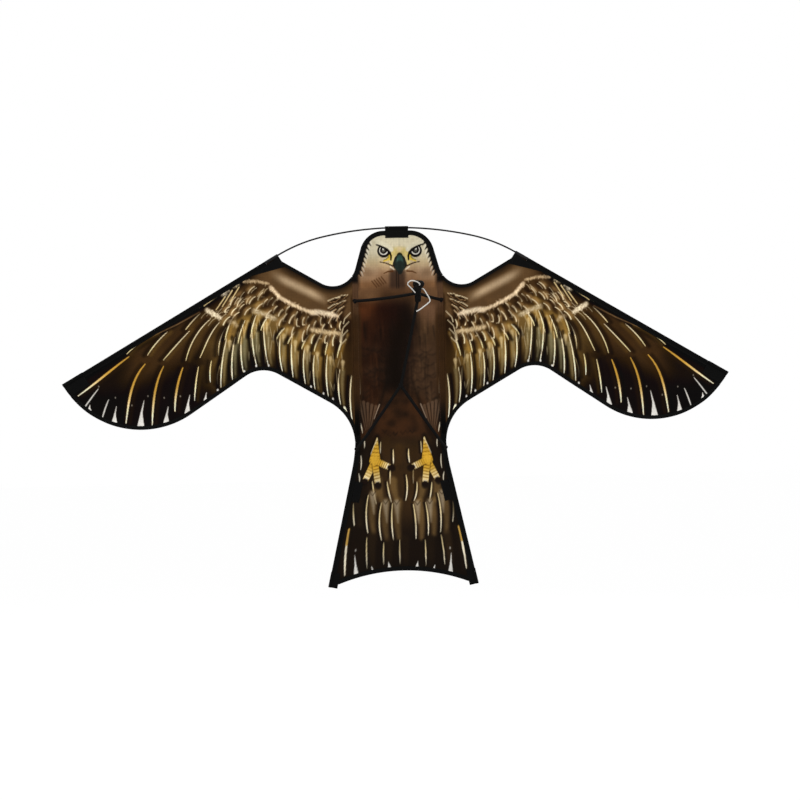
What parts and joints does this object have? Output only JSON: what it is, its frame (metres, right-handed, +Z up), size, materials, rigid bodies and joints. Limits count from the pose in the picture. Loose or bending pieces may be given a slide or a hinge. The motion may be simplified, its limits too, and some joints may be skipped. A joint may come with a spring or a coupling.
{
  "type": "bird scarer kite",
  "caption": "Hawk-shaped cloth kite with hinged wings on rods, a bow rod over the head, a flared tail and a corded bridle with a tow loop, flown from a pole line to scare birds.",
  "frame": {"origin": "where the tow line bears on the tow loop, in front of the chest", "axes": "+X across the span to the right as seen from the front, +Y behind the sail, +Z up to the head"},
  "size_m": [1.2962, 0.1306, 0.7011],
  "materials": {
    "body_print": "printed ripstop polyester, dark brown",
    "wing_print": "printed ripstop polyester, brown feathers",
    "black_tape": "woven black tape, stitched",
    "brown_tape": "printed cloth, reddish brown",
    "rod": "black glass-fibre rod",
    "tube": "soft black vinyl",
    "bridle_cord": "braided black cord",
    "tow_cord": "braided white cord"
  },
  "bodies": {
    "body": {"body_panel": "body_print", "head_binding": "black_tape", "head_loop": "black_tape", "tail_hem": "black_tape", "bow_rod": "rod", "left_root_tunnel": "brown_tape", "right_root_tunnel": "brown_tape", "left_waist_tunnel": "black_tape", "right_waist_tunnel": "black_tape", "left_tail_tunnel": "black_tape", "right_tail_tunnel": "black_tape", "left_longeron": "rod", "right_longeron": "rod", "longeron_caps": "tube", "left_tail_pocket": "black_tape", "right_tail_pocket": "black_tape", "left_tail_patch": "black_tape", "right_tail_patch": "black_tape", "upper_ties": "bridle_cord", "lower_ties": "bridle_cord", "fork_knot": "bridle_cord", "tow_knot": "bridle_cord", "tow_loop": "tow_cord", "tow_tail": "tow_cord", "upper_bridle_left": "bridle_cord", "upper_bridle_right": "bridle_cord", "bridle_stem": "bridle_cord", "lower_bridle_left": "bridle_cord", "lower_bridle_right": "bridle_cord"},
    "left_wing": {"left_wing_panel": "wing_print", "left_spar_tunnel": "black_tape", "left_spar": "rod", "left_tip_cap": "tube", "left_tip_pocket": "black_tape", "left_shoulder_tube": "tube", "left_shoulder_patch": "black_tape", "left_neck_binding": "black_tape", "left_trailing_binding": "black_tape"},
    "right_wing": {"right_wing_panel": "wing_print", "right_spar_tunnel": "black_tape", "right_spar": "rod", "right_tip_cap": "tube", "right_tip_pocket": "black_tape", "right_shoulder_tube": "tube", "right_shoulder_patch": "black_tape", "right_neck_binding": "black_tape", "right_trailing_binding": "black_tape"}
  },
  "joints": [
    {"name": "left_wing_flap", "type": "hinge", "parent": "body", "child": "left_wing", "pos_m": [-0.107, 0.1249, -0.13], "axis": [0, 0, 1], "range_deg": [-30, 30], "stiffness_Nm_per_rad": 0.5, "deforming": ["bow_rod"]},
    {"name": "right_wing_flap", "type": "hinge", "parent": "body", "child": "right_wing", "pos_m": [0.065, 0.1249, -0.13], "axis": [0, 0, -1], "range_deg": [-30, 30], "stiffness_Nm_per_rad": 0.5, "deforming": ["bow_rod"]}
  ]
}
